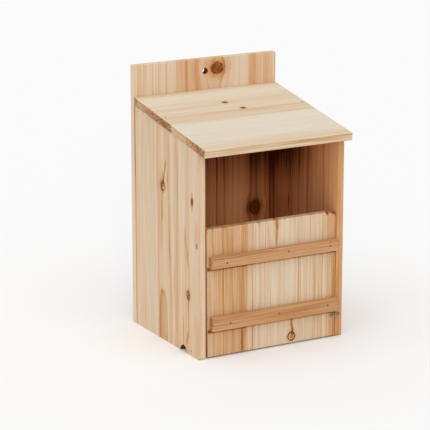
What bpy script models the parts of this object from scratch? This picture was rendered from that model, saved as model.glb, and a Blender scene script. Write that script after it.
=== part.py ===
"""Half-open wooden birdhouse, modelled board by board.

Axes: X across the front, Y into the box (the front looks toward -Y), Z up.
The origin is on the ground, under the middle of the overall size.
"""
import math

import bmesh
import bpy
from mathutils import Matrix, Vector

# ---------------------------------------------------------------- sizes (metres)
# overall
WIDTH = 0.220
DEPTH = 0.210
HEIGHT = 0.360

# board thicknesses, the seam between touching boards and the eased edges
BOARD = 0.0104
SIDE_THICK = 0.0102
ROOF_THICK = 0.0106
SEAM = 0.0003
ARRIS = 0.0006
BATTEN_ARRIS = 0.0007

# back panel: how far it stops short of the roof's ends, and its hang hole
BACK_INSET = 0.0004
HANG_HOLE_RADIUS = 0.0040
HANG_HOLE_X = -0.0015
HANG_HOLE_DROP = 0.0172

# roof: slope, how far the back panel stands above it, and its overhangs
ROOF_SLOPE = math.radians(9.65)
BACK_RISE = 0.0425
ROOF_OVERHANG = 0.0202
LEFT_OVERHANG = 0.0012
RIGHT_OVERHANG = 0.0

# sides and floor
CORNER_ROUND = 0.0025
FLOOR_BOTTOM = 0.0010
NOTCH_RADIUS = 0.0090
NOTCH_BACK = 0.0425
NOTCH_DEPTH = 0.0118

# door: running gaps to the sides, its heights and the low strip at its top right
DOOR_GAP_LEFT_TOP = 0.0016
DOOR_GAP_LEFT_LOW = 0.0030
DOOR_GAP_RIGHT = 0.0014
DOOR_BOTTOM = 0.0020
DOOR_TOP = 0.1745
DOOR_STEP_DROP = 0.0016
DOOR_STEP_WIDTH = 0.0107
DOOR_ARRIS = 0.0005
PIVOT_DROP = 0.0216

# battens: thickness, heights, and where each end stands inside the door's edge
BATTEN_THICK = 0.0083
UPPER_BATTEN_DROP = 0.0363
UPPER_BATTEN_TALL = 0.0158
UPPER_BATTEN_ENDS = (0.0025, -0.0003)
LOWER_BATTEN_RISE = 0.0362
LOWER_BATTEN_TALL = 0.0188
LOWER_BATTEN_ENDS = (0.0028, -0.0008)

# brads: place along the batten (from its left end, its middle, its right end)
# and height above the batten's middle
UPPER_BRADS = ((0.0227, -0.0014), (0.0187, 0.0012), (0.0136, 0.0004))
LOWER_BRADS = ((0.0267, -0.0005), (0.0042, 0.0009), (0.0171, 0.0008))
BRAD_SHANK = 0.0007
BRAD_HEAD = (0.0012, 0.0005)
BRAD_BITE = 0.0074

# nails: shank radius, head radius and height, depth in the second board, places
NAIL_SHANK = 0.0008
NAIL_HEAD = (0.0014, 0.0006)
NAIL_BITE = 0.0176
NAIL_FIT = 0.00015
NAIL_SUNK = 0.0001
ROOF_NAIL_BACK = 0.0999
FLOOR_NAILS_BACK = (0.0217, 0.0908)
BACK_NAIL_RISE = 0.060
BACK_NAIL_DROP = 0.066

# pivot screws
SCREW_SHANK = 0.0015
SCREW_HEAD = 0.0030
SCREW_CONE = 0.0022
SCREW_BITE = 0.0158
SCREW_FIT = 0.0002
PIVOT_PLAY = 0.0003

# turn latch: wire radius, bend, bite in the wood, stand-off, reach over the door
HOOK_WIRE = 0.0013
HOOK_BEND = 0.0024
HOOK_BITE = 0.0180
HOOK_STANDOFF = 0.0029
HOOK_REACH = 0.0084
HOOK_BELOW_BATTEN = 0.0067
HOOK_FIT = 0.0002

# ---------------------------------------------------------------- derived planes
BACK_FACE = DEPTH / 2
BACK_FRONT = BACK_FACE - BOARD
BOX_REAR = BACK_FRONT - SEAM
ROOF_FRONT = -DEPTH / 2
BOX_FRONT = ROOF_FRONT + ROOF_OVERHANG
ROOF_DROP = ROOF_THICK / math.cos(ROOF_SLOPE)
ROOF_SEAM = SEAM / math.cos(ROOF_SLOPE)
ROOF_FRONT_TOP = HEIGHT - BACK_RISE - math.tan(ROOF_SLOPE) * (BOX_REAR - ROOF_FRONT)
LEFT_OUTER = LEFT_OVERHANG - WIDTH / 2
LEFT_INNER = LEFT_OUTER + SIDE_THICK
RIGHT_OUTER = WIDTH / 2 - RIGHT_OVERHANG
RIGHT_INNER = RIGHT_OUTER - SIDE_THICK
DOOR_REAR = BOX_FRONT + BOARD
DOOR_LEFT_TOP = LEFT_INNER + DOOR_GAP_LEFT_TOP
DOOR_LEFT_LOW = LEFT_INNER + DOOR_GAP_LEFT_LOW
DOOR_RIGHT = RIGHT_INNER - DOOR_GAP_RIGHT
PIVOT_Y = BOX_FRONT + BOARD / 2
PIVOT_Z = DOOR_TOP - PIVOT_DROP
BATTEN_BACK = BOX_FRONT - SEAM
BATTEN_FRONT = BATTEN_BACK - BATTEN_THICK
UPPER_BATTEN_LOW = DOOR_TOP - UPPER_BATTEN_DROP - UPPER_BATTEN_TALL
LOWER_BATTEN_LOW = DOOR_BOTTOM + LOWER_BATTEN_RISE
HOOK_X = (RIGHT_INNER + RIGHT_OUTER) / 2
HOOK_Z = LOWER_BATTEN_LOW - HOOK_BELOW_BATTEN
HOOK_ARM = HOOK_X - DOOR_RIGHT + HOOK_REACH


def roof_top(y):
    """Height of the roof's upper face above the ground at depth y."""
    return ROOF_FRONT_TOP + math.tan(ROOF_SLOPE) * (y - ROOF_FRONT)


def side_top(y):
    """Height of a side board's sloped top edge at depth y."""
    return roof_top(y) - ROOF_DROP - ROOF_SEAM


def door_left(z):
    """The door's left edge at a height: it isn't quite upright."""
    share = (z - DOOR_BOTTOM) / (DOOR_TOP - DOOR_BOTTOM)
    return DOOR_LEFT_LOW + (DOOR_LEFT_TOP - DOOR_LEFT_LOW) * share


# ---------------------------------------------------------------- scene set-up
for old in list(bpy.data.objects):
    bpy.data.objects.remove(old, do_unlink=True)

parts = bpy.data.collections.new("birdhouse")
bpy.context.scene.collection.children.link(parts)
cutters = bpy.data.collections.new("birdhouse_cutters")
bpy.context.scene.collection.children.link(cutters)

FIR_PALE = (0.74, 0.60, 0.43)
FIR_SIDE = (0.66, 0.50, 0.34)
FIR_WARM = (0.60, 0.40, 0.22)
FIR_BATTEN = (0.53, 0.32, 0.16)
ZINC = (0.45, 0.46, 0.47)
STEEL = (0.16, 0.13, 0.11)


def material(name, colour, rough, metal=0.0):
    mat = bpy.data.materials.new(name)
    mat.use_nodes = True
    shader = mat.node_tree.nodes["Principled BSDF"]
    shader.inputs["Base Color"].default_value = (*colour, 1.0)
    shader.inputs["Roughness"].default_value = rough
    shader.inputs["Metallic"].default_value = metal
    mat.diffuse_color = (*colour, 1.0)
    return mat


# ---------------------------------------------------------------- shape helpers
def new_object(name, bm, mat, home=parts):
    bmesh.ops.recalc_face_normals(bm, faces=bm.faces)
    mesh = bpy.data.meshes.new(name)
    bm.to_mesh(mesh)
    bm.free()
    obj = bpy.data.objects.new(name, mesh)
    home.objects.link(obj)
    if mat is not None:
        mesh.materials.append(mat)
    return obj


def prism(name, outline, axis, low, high, mat, home=parts):
    """A board: a flat outline pushed along one axis from low to high.

    The outline lists the two other coordinates, in axis order.
    """
    bm = bmesh.new()
    rings = []
    for level in (low, high):
        ring = []
        for a, b in outline:
            point = [a, b]
            point.insert(axis, level)
            ring.append(bm.verts.new(point))
        rings.append(ring)
    bm.faces.new(rings[0])
    bm.faces.new(rings[1])
    count = len(outline)
    for i in range(count):
        j = (i + 1) % count
        bm.faces.new((rings[0][i], rings[0][j], rings[1][j], rings[1][i]))
    return new_object(name, bm, mat, home)


def lathe(name, profile, mat, sides=24, home=parts):
    """A turned piece about its own Z: profile is (radius, z) from top to tip."""
    bm = bmesh.new()
    rings = []
    for radius, z in profile:
        if radius == 0.0:
            rings.append([bm.verts.new((0.0, 0.0, z))])
            continue
        ring = []
        for k in range(sides):
            turn = math.tau * k / sides
            ring.append(bm.verts.new((radius * math.cos(turn), radius * math.sin(turn), z)))
        rings.append(ring)
    for upper, lower in zip(rings, rings[1:]):
        for k in range(sides):
            n = (k + 1) % sides
            if len(upper) == 1:
                bm.faces.new((upper[0], lower[k], lower[n]))
            elif len(lower) == 1:
                bm.faces.new((upper[k], lower[0], upper[n]))
            else:
                bm.faces.new((upper[k], lower[k], lower[n], upper[n]))
    return new_object(name, bm, mat, home)


def bent_wire(name, path, radius, mat, sides=16):
    """A round wire along a path in the XY plane, closed by domed ends."""
    bm = bmesh.new()
    rings = []
    last = len(path) - 1
    for i, point in enumerate(path):
        way = (path[min(i + 1, last)] - path[max(i - 1, 0)]).normalized()
        across = way.cross(Vector((0, 0, 1))).normalized()
        ring = []
        for k in range(sides):
            turn = math.tau * k / sides
            spoke = math.cos(turn) * across + math.sin(turn) * Vector((0, 0, 1))
            ring.append(bm.verts.new(point + radius * spoke))
        rings.append(ring)
    for low, high in zip(rings, rings[1:]):
        for k in range(sides):
            n = (k + 1) % sides
            bm.faces.new((low[k], low[n], high[n], high[k]))
    for ring, tip, inner in ((rings[0], path[0], path[1]), (rings[-1], path[-1], path[-2])):
        crown = bm.verts.new(tip + (tip - inner).normalized() * radius * 0.45)
        for k in range(sides):
            bm.faces.new((ring[k], ring[(k + 1) % sides], crown))
    return new_object(name, bm, mat)


def aim(direction):
    """Turn that points a lathed piece's own -Z along a direction."""
    turn = Vector((0, 0, -1)).rotation_difference(Vector(direction).normalized())
    return turn.to_matrix().to_4x4()


def ease(obj, width=ARRIS):
    """Take the sharp arris off every edge of a board."""
    bevel = obj.modifiers.new("eased_arris", "BEVEL")
    bevel.width = width
    bevel.segments = 2
    bevel.limit_method = "ANGLE"
    bevel.angle_limit = math.radians(30)
    return obj


def smooth(obj, angle=35):
    mesh = obj.data
    mesh.polygons.foreach_set("use_smooth", [True] * len(mesh.polygons))
    mesh.set_sharp_from_angle(angle=math.radians(angle))


def hide_cutter(obj):
    obj.hide_render = True
    obj.display_type = "WIRE"
    return obj


def round_bar(name, radius, length, centre, axis, sides=48):
    """A straight round cutter through a centre, along a direction."""
    bar = lathe(name, [(0.0, length / 2), (radius, length / 2),
                       (radius, -length / 2), (0.0, -length / 2)], None, sides, cutters)
    bar.matrix_world = Matrix.Translation(centre) @ aim(axis)
    return hide_cutter(bar)


def cut(target, cutter):
    boolean = target.modifiers.new("cut_" + cutter.name, "BOOLEAN")
    boolean.operation = "DIFFERENCE"
    boolean.solver = "EXACT"
    boolean.object = cutter


def drive(name, shank, crown, length, head, direction, targets):
    """A nail with its head just under the surface, and its hole in each board."""
    cap, cap_height = crown
    way = Vector(direction).normalized()
    point = cap_height * 3
    nail = lathe(name, [(0.0, 0.0), (cap, 0.0), (cap, -cap_height * 0.5),
                        (shank, -cap_height), (shank, -length + point),
                        (0.0, -length)], material("steel_" + name, STEEL, 0.5, 1.0), 20)
    smooth(nail)
    place = Matrix.Translation(Vector(head) + way * NAIL_SUNK) @ aim(way)
    nail.matrix_world = place
    f = NAIL_FIT
    hole = lathe(name + "_hole", [(0.0, 0.004), (cap + f, 0.004), (cap + f, -cap_height * 0.5 - f),
                                  (shank + f, -cap_height - f), (shank + f, -length + point - f),
                                  (0.0, -length - 4 * f)], None, 20, cutters)
    hole.matrix_world = place
    hide_cutter(hole)
    for target in targets:
        cut(target, hole)


# ---------------------------------------------------------------- back panel
back_panel = prism(
    "back_panel",
    [(BACK_INSET - WIDTH / 2, 0.0), (WIDTH / 2 - BACK_INSET, 0.0),
     (WIDTH / 2 - BACK_INSET, HEIGHT), (BACK_INSET - WIDTH / 2, HEIGHT)],
    1, BACK_FRONT, BACK_FACE, material("fir_back_panel", FIR_WARM, 0.62))
ease(back_panel)
cut(back_panel, round_bar("hang_hole", HANG_HOLE_RADIUS, 4 * BOARD,
                          (HANG_HOLE_X, BACK_FRONT, HEIGHT - HANG_HOLE_DROP), (0, 1, 0)))


# ---------------------------------------------------------------- sides
def side_outline():
    """Side view of a side board: square back, sloped top, softened front foot."""
    r = CORNER_ROUND
    points = [(BOX_REAR, 0.0), (BOX_REAR, side_top(BOX_REAR)), (BOX_FRONT, side_top(BOX_FRONT))]
    for k in range(5):
        turn = math.radians(90 * k / 4)
        points.append((BOX_FRONT + r - r * math.cos(turn), r - r * math.sin(turn)))
    return points


left_side = prism("left_side", side_outline(), 0, LEFT_OUTER, LEFT_INNER,
                  material("fir_left_side", FIR_SIDE, 0.62))
right_side = prism("right_side", side_outline(), 0, RIGHT_INNER, RIGHT_OUTER,
                   material("fir_right_side", FIR_WARM, 0.62))
ease(left_side)
ease(right_side)

# ---------------------------------------------------------------- floor
floor = prism(
    "floor",
    [(LEFT_INNER + SEAM, DOOR_REAR + SEAM), (RIGHT_INNER - SEAM, DOOR_REAR + SEAM),
     (RIGHT_INNER - SEAM, BOX_REAR), (LEFT_INNER + SEAM, BOX_REAR)],
    2, FLOOR_BOTTOM, FLOOR_BOTTOM + BOARD, material("fir_floor", FIR_WARM, 0.66))
ease(floor)
drain_notch = round_bar("drain_notch", NOTCH_RADIUS, 2 * (SIDE_THICK + NOTCH_DEPTH),
                        (LEFT_OUTER, BOX_FRONT + NOTCH_BACK, 0.0), (1, 0, 0), 40)
cut(left_side, drain_notch)
cut(floor, drain_notch)

# ---------------------------------------------------------------- roof
roof_foot = (ROOF_FRONT + ROOF_THICK * math.sin(ROOF_SLOPE),
             ROOF_FRONT_TOP - ROOF_THICK * math.cos(ROOF_SLOPE))
roof = prism(
    "roof",
    [(BOX_REAR, roof_top(BOX_REAR)), (ROOF_FRONT, ROOF_FRONT_TOP), roof_foot,
     (BOX_REAR, roof_top(BOX_REAR) - ROOF_DROP)],
    0, -WIDTH / 2, WIDTH / 2, material("fir_roof", FIR_PALE, 0.60))
ease(roof)

# ---------------------------------------------------------------- door and battens
hinge_line = bpy.data.objects.new("door_hinge_line", None)
parts.objects.link(hinge_line)
hinge_line.empty_display_size = 0.02
hinge_line.location = (0.0, PIVOT_Y, PIVOT_Z)

door_panel = prism(
    "door_panel",
    [(DOOR_LEFT_LOW, DOOR_BOTTOM), (DOOR_RIGHT, DOOR_BOTTOM), (DOOR_RIGHT, DOOR_TOP - DOOR_STEP_DROP),
     (DOOR_RIGHT - DOOR_STEP_WIDTH, DOOR_TOP - DOOR_STEP_DROP),
     (DOOR_RIGHT - DOOR_STEP_WIDTH, DOOR_TOP), (DOOR_LEFT_TOP, DOOR_TOP)],
    1, BOX_FRONT, DOOR_REAR, material("fir_door", FIR_WARM, 0.62))
ease(door_panel, DOOR_ARRIS)


def batten(name, low, tall, ends, brads):
    """A batten across the door's face, nailed on with its brads."""
    left = door_left(low) + ends[0]
    right = DOOR_RIGHT - ends[1]
    strip = prism(name, [(left, low), (right, low), (right, low + tall), (left, low + tall)],
                  1, BATTEN_FRONT, BATTEN_BACK, material("fir_" + name, FIR_BATTEN, 0.60))
    ease(strip, BATTEN_ARRIS)
    starts = (left + brads[0][0], (left + right) / 2 + brads[1][0], right - brads[2][0])
    for number, (x, (_, lift)) in enumerate(zip(starts, brads), 1):
        drive(name.replace("batten", "brad_") + str(number), BRAD_SHANK, BRAD_HEAD,
              BATTEN_THICK + SEAM + BRAD_BITE, (x, BATTEN_FRONT, low + tall / 2 + lift),
              (0, 1, 0), (strip, door_panel))


batten("upper_batten", UPPER_BATTEN_LOW, UPPER_BATTEN_TALL, UPPER_BATTEN_ENDS, UPPER_BRADS)
batten("lower_batten", LOWER_BATTEN_LOW, LOWER_BATTEN_TALL, LOWER_BATTEN_ENDS, LOWER_BRADS)


# ---------------------------------------------------------------- pivot screws
def pivot_screw(name, face_x, inward, side_board):
    """Countersunk screw through a side, with running room in the door's edge."""
    length = SIDE_THICK + SCREW_BITE
    screw = lathe(name, [(0.0, 0.0), (SCREW_HEAD, 0.0), (SCREW_HEAD, -0.0004),
                         (SCREW_SHANK, -SCREW_CONE), (SCREW_SHANK, -length + 0.004),
                         (0.0, -length)], material("zinc_" + name, ZINC, 0.38, 1.0), 24)
    smooth(screw)
    place = Matrix.Translation((face_x + inward * NAIL_SUNK, PIVOT_Y, PIVOT_Z)) @ aim((inward, 0, 0))
    screw.matrix_world = place
    f = SCREW_FIT
    through = SIDE_THICK + 0.002
    seat = lathe(name + "_seat", [(0.0, 0.004), (SCREW_HEAD + f, 0.004), (SCREW_HEAD + f, -0.0005),
                                  (SCREW_SHANK + f, -SCREW_CONE - 0.0001),
                                  (SCREW_SHANK + f, -through), (0.0, -through)], None, 24, cutters)
    seat.matrix_world = place
    cut(side_board, hide_cutter(seat))
    play = SCREW_SHANK + PIVOT_PLAY
    deep = length + 0.0015
    bore = lathe(name + "_bore", [(0.0, -SIDE_THICK), (play, -SIDE_THICK), (play, -deep),
                                  (0.0, -deep)], None, 24, cutters)
    bore.matrix_world = place
    cut(door_panel, hide_cutter(bore))


pivot_screw("pivot_screw_left", LEFT_OUTER, 1, left_side)
pivot_screw("pivot_screw_right", RIGHT_OUTER, -1, right_side)

# ---------------------------------------------------------------- turn latch
corner = HOOK_BEND - HOOK_STANDOFF
hook_path = [Vector((0, HOOK_BITE, 0)), Vector((0, HOOK_BITE / 3, 0)), Vector((0, corner, 0))]
for step in range(1, 7):
    turn = math.radians(90 * step / 6)
    hook_path.append(Vector((HOOK_BEND * (math.cos(turn) - 1), corner - HOOK_BEND * math.sin(turn), 0)))
hook_path.append(Vector((HOOK_WIRE * 0.45 - HOOK_ARM, -HOOK_STANDOFF, 0)))
latch_hook = bent_wire("latch_hook", hook_path, HOOK_WIRE, material("zinc_latch_hook", ZINC, 0.35, 1.0))
smooth(latch_hook)
latch_hook.location = (HOOK_X, BOX_FRONT, HOOK_Z)
cut(right_side, round_bar("hook_bore", HOOK_WIRE + HOOK_FIT, 2 * (HOOK_BITE + 0.0012),
                          (HOOK_X, BOX_FRONT, HOOK_Z), (0, 1, 0), 20))

# ---------------------------------------------------------------- nails
roof_nail_y = BOX_FRONT + ROOF_NAIL_BACK
down_roof = (0, math.sin(ROOF_SLOPE), -math.cos(ROOF_SLOPE))
for hand, outer, inner, inward, board in (("left", LEFT_OUTER, LEFT_INNER, 1, left_side),
                                          ("right", RIGHT_OUTER, RIGHT_INNER, -1, right_side)):
    middle = (outer + inner) / 2
    drive("roof_nail_" + hand, NAIL_SHANK, NAIL_HEAD, ROOF_THICK + NAIL_BITE,
          (middle, roof_nail_y, roof_top(roof_nail_y)), down_roof, (roof, board))
    for place, back in zip(("front", "rear"), FLOOR_NAILS_BACK):
        drive("floor_nail_" + hand + "_" + place, NAIL_SHANK, NAIL_HEAD, SIDE_THICK + NAIL_BITE,
              (outer, BOX_FRONT + back, FLOOR_BOTTOM + BOARD / 2), (inward, 0, 0), (board, floor))
    for place, z in (("low", BACK_NAIL_RISE), ("high", side_top(BOX_REAR) - BACK_NAIL_DROP)):
        drive("back_nail_" + hand + "_" + place, NAIL_SHANK, NAIL_HEAD, BOARD + NAIL_BITE,
              (middle, BACK_FACE, z), (0, -1, 0), (back_panel, board))

# The door carries its battens and brads about the hinge line.
bpy.context.view_layer.update()
for obj in list(parts.objects):
    if obj.name.startswith(("door_panel", "upper_", "lower_")):
        keep = obj.matrix_world.copy()
        obj.parent = hinge_line
        obj.matrix_parent_inverse = hinge_line.matrix_world.inverted()
        obj.matrix_world = keep
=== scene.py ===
"""Looks of a half-open wooden birdhouse: boards, battens, nails, pivot screws and turn latch.

Lengths are in metres in the meshes and in millimetres inside the wood materials.
"""
import math

import bmesh
import bpy
from mathutils import Matrix, Vector, noise as field


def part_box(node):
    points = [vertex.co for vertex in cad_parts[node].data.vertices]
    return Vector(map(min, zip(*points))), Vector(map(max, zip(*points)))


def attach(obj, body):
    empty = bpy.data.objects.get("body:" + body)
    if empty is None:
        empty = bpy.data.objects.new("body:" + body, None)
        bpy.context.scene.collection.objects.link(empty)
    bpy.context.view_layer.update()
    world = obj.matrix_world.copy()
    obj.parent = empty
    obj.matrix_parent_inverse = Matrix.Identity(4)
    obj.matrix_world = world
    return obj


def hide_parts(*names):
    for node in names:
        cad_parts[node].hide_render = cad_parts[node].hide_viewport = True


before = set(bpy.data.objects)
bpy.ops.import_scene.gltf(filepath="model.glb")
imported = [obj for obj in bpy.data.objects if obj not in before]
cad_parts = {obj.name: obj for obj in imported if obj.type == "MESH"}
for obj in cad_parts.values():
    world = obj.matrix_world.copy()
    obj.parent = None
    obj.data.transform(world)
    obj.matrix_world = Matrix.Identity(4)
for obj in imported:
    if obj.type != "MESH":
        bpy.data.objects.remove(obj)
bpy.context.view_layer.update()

# ------------------------------------------------------------------ back panel
# The tall back board hangs the box on the wall. It is edge-glued from fir staves with the
# grain upright, planed and left bare; a big round knot sits beside the drilled hang hole.


def put(tree, kind, feeds=None, **settings):
    """Add a node, set its properties, and feed its inputs with values or other sockets."""
    node = tree.nodes.new(kind if kind.startswith(("Geometry", "Function")) else "ShaderNode" + kind)
    for name, value in settings.items():
        setattr(node, name, value)
    for key, value in (feeds or {}).items():
        socket = node.inputs[key]
        if isinstance(value, bpy.types.NodeSocket):
            tree.links.new(value, socket)
        else:
            socket.default_value = value
    return node


def calc(tree, operation, *values, clamp=False):
    """A Math node's result."""
    feeds = dict(enumerate(values))
    return put(tree, "Math", feeds, operation=operation, use_clamp=clamp).outputs[0]


def scaled(tree, value, by, *plus, clamp=False):
    """value times by, with plus added to it."""
    return calc(tree, "MULTIPLY_ADD" if plus else "MULTIPLY", value, by, *plus, clamp=clamp)


def vector(tree, operation, *values):
    """A Vector Math node's result."""
    node = put(tree, "VectorMath", dict(enumerate(values)), operation=operation)
    return node.outputs["Value" if operation in ("LENGTH", "DOT_PRODUCT") else "Vector"]


def ease_between(tree, value, low, high):
    """0 below low, 1 above high, and a smooth step between."""
    feeds = {"Value": value, "From Min": low, "From Max": high}
    return put(tree, "MapRange", feeds, interpolation_type="SMOOTHSTEP").outputs["Result"]


def mix_colours(tree, share, first, second):
    """The first colour where share is 0 and the second where it is 1."""
    return put(tree, "Mix", {"Factor": share, 6: first, 7: second}, data_type="RGBA").outputs[2]


SOCKETS = {1: "NodeSocketFloat", 3: "NodeSocketVector", 4: "NodeSocketColor"}


def new_tree(name, inputs, outputs, kind="ShaderNodeTree"):
    """A node tree whose sockets are given by their first values or their types, and its ends."""
    tree = bpy.data.node_groups.new(name, kind)
    for in_out, sockets in (("INPUT", inputs), ("OUTPUT", outputs)):
        for label, start in sockets.items():
            if isinstance(start, str):
                tree.interface.new_socket(label, in_out=in_out, socket_type=start)
                continue
            parts = len(start) if isinstance(start, tuple) else 1
            socket = tree.interface.new_socket(label, in_out=in_out, socket_type=SOCKETS[parts])
            socket.default_value = start
    return tree, tree.nodes.new("NodeGroupInput").outputs, tree.nodes.new("NodeGroupOutput").inputs


def times(tree, direction, amount):
    """A vector scaled by a value or a socket."""
    node = put(tree, "VectorMath", {0: direction, "Scale": amount}, operation="SCALE")
    return node.outputs["Vector"]


def noise(tree, place, detail, stretch=(1.0, 1.0, 1.0), result="Fac"):
    """Soft noise over a stretched place; a higher detail is rougher."""
    place = vector(tree, "MULTIPLY", place, stretch)
    return put(tree, "TexNoise", {"Vector": place, "Scale": 1.0, "Detail": detail}).outputs[result]


def noise_along(tree, place, detail):
    """Soft noise along one line."""
    return put(tree, "TexNoise", {"W": place, "Scale": 1.0, "Detail": detail},
               noise_dimensions="1D").outputs["Fac"]


def make_fir_grain():
    """Solid fir: growth rings about a pith line, fibres, colour by tone, and end grain."""
    tree, given, result = new_tree(
        "fir_grain",
        {"Point": (0, 0, 0), "Tone": 0.2, "End": 0.0, "Pith": (0, -60, 0), "Ring": 3.0, "Ring Strength": 0.2,
         "Wander": 6.0, "Streaks": 1.0, "Seed": 0.0, "Pale": (0.8, 0.6, 0.42, 1),
         "Warm": (0.62, 0.34, 0.17, 1), "Dark": (0.3, 0.12, 0.045, 1)},
        {"Color": (0, 0, 0, 1), "Roughness": 0.5, "Height": 0.0})
    point = given["Point"]
    place = vector(tree, "ADD", point, times(tree, (37.0, 91.0, 53.0), given["Seed"]))

    # The pith line wanders, so the rings run in arches and slow waves.
    wander = noise(tree, place, 2.0, (0.016, 0.016, 0.0045), "Color")
    shift = times(tree, vector(tree, "SUBTRACT", wander, (0.5, 0.5, 0.5)), given["Wander"])
    from_pith = vector(tree, "SUBTRACT", vector(tree, "ADD", point, shift), given["Pith"])
    reach = vector(tree, "LENGTH", vector(tree, "MULTIPLY", from_pith, (1.0, 1.0, 0.0)))
    years = calc(tree, "DIVIDE", reach, given["Ring"])
    years = scaled(tree, noise_along(tree, scaled(tree, years, 0.55), 1.0), 2.2, years)
    season = calc(tree, "FRACT", years)
    late = scaled(tree, ease_between(tree, season, 0.52, 0.92), ease_between(tree, season, 1.0, 0.94))
    vigour = put(tree, "TexWhiteNoise", {"W": calc(tree, "FLOOR", years)},
                 noise_dimensions="1D").outputs["Value"]
    late = scaled(tree, late, scaled(tree, vigour, 0.9, 0.25))

    # Fibres: broad soft streaks down to fine lines, all far longer than they are wide.
    broad = noise(tree, place, 2.0, (0.10, 0.10, 0.0035))
    middle = noise(tree, place, 2.0, (0.36, 0.36, 0.009))
    fine = noise(tree, place, 3.0, (0.82, 0.82, 0.018))
    speck = noise(tree, place, 4.0, (0.9, 0.9, 0.9))
    streaks = scaled(tree, broad, 0.30, -0.15)
    streaks = calc(tree, "ADD", streaks, scaled(tree, middle, 0.50, -0.25))
    streaks = calc(tree, "ADD", streaks, scaled(tree, fine, 0.54, -0.27))

    tone = scaled(tree, late, given["Ring Strength"], given["Tone"])
    tone = scaled(tree, streaks, given["Streaks"], tone)
    rough_cut = scaled(tree, speck, 3.6, -0.80)
    tone = scaled(tree, given["End"], rough_cut, tone)
    lower = scaled(tree, tone, 2.0, clamp=True)
    upper = scaled(tree, tone, 2.0, -1.0, clamp=True)
    colour = mix_colours(tree, upper, mix_colours(tree, lower, given["Pale"], given["Warm"]), given["Dark"])
    blush = noise(tree, place, 2.0, (0.022, 0.022, 0.005))
    colour = mix_colours(tree, ease_between(tree, blush, 0.3, 0.7),
                         vector(tree, "MULTIPLY", colour, (0.99, 1.005, 1.0)),
                         vector(tree, "MULTIPLY", colour, (1.005, 0.985, 0.98)))
    tree.links.new(colour, result["Color"])
    dull = scaled(tree, fine, 0.18, 0.50)
    tree.links.new(scaled(tree, late, -0.08, dull), result["Roughness"])
    relief = scaled(tree, late, 0.5, fine)
    tree.links.new(scaled(tree, given["End"], speck, relief), result["Height"])
    return tree


def make_knot():
    """A knot: the grain parts round it, its rim is dark, and it has rings and checks of its own."""
    tree, given, result = new_tree(
        "knot",
        {"Point": (0, 0, 0), "Tone": 0.0, "Centre": (0, 0, 0), "Radius": 4.0, "Stretch": 1.2, "Heart": 0.5,
         "Rim": 0.5, "Halo": 0.16, "Mottle": 0.9, "Rings": 0.06},
        {"Point": (0, 0, 0), "Tone": 0.0})
    away = vector(tree, "SUBTRACT", given["Point"], given["Centre"])
    wobble = noise(tree, given["Point"], 2.0, (0.3, 0.3, 0.3), "Color")
    wobble = vector(tree, "SUBTRACT", wobble, (0.5, 0.5, 0.5))
    wobble = times(tree, vector(tree, "MULTIPLY", wobble, (1.0, 0.0, 1.0)),
                   scaled(tree, given["Radius"], 0.55))
    squeeze = calc(tree, "DIVIDE", 1.0, given["Stretch"])
    oval = put(tree, "CombineXYZ", {"X": 1.0, "Y": 0.0, "Z": squeeze}).outputs[0]
    spoke = vector(tree, "MULTIPLY", vector(tree, "ADD", away, wobble), oval)
    ring = calc(tree, "DIVIDE", vector(tree, "LENGTH", spoke), given["Radius"])

    # Grain lines part: near the knot a line sits further out than where it started.
    bell = scaled(tree, scaled(tree, ring, ring), -0.22)
    pull = scaled(tree, calc(tree, "EXPONENT", bell), -0.85)
    back = times(tree, vector(tree, "MULTIPLY", away, (1.0, 0.0, 0.0)), pull)
    tree.links.new(vector(tree, "ADD", given["Point"], back), result["Point"])

    inside = ease_between(tree, ring, 1.06, 0.88)
    own_rings = calc(tree, "SINE", scaled(tree, ring, 10.0, -1.5))
    speck = noise(tree, given["Point"], 3.0, (0.75, 0.75, 0.75))
    corners = put(tree, "SeparateXYZ", {0: spoke}).outputs
    around = calc(tree, "ARCTAN2", corners["Z"], corners["X"])
    check = noise_along(tree, scaled(tree, around, 1.9), 2.0)
    check = ease_between(tree, calc(tree, "ABSOLUTE", calc(tree, "SUBTRACT", check, 0.5)), 0.035, 0.0)
    check = scaled(tree, check, ease_between(tree, ring, 0.95, 0.15))
    heart = scaled(tree, own_rings, given["Rings"], given["Heart"])
    mottle = scaled(tree, calc(tree, "SUBTRACT", speck, 0.5), given["Mottle"])
    heart = calc(tree, "ADD", heart, mottle)
    heart = scaled(tree, scaled(tree, check, given["Mottle"]), 0.30, heart)
    off_rim = scaled(tree, calc(tree, "SUBTRACT", ring, 1.0), 5.5)
    rim = calc(tree, "EXPONENT", scaled(tree, scaled(tree, off_rim, off_rim), -1.0))
    tone = scaled(tree, inside, heart, given["Tone"])
    tone = scaled(tree, rim, given["Rim"], tone)
    halo = ease_between(tree, ring, 2.5, 1.0)
    tree.links.new(scaled(tree, halo, given["Halo"], tone), result["Tone"])
    return tree


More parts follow.
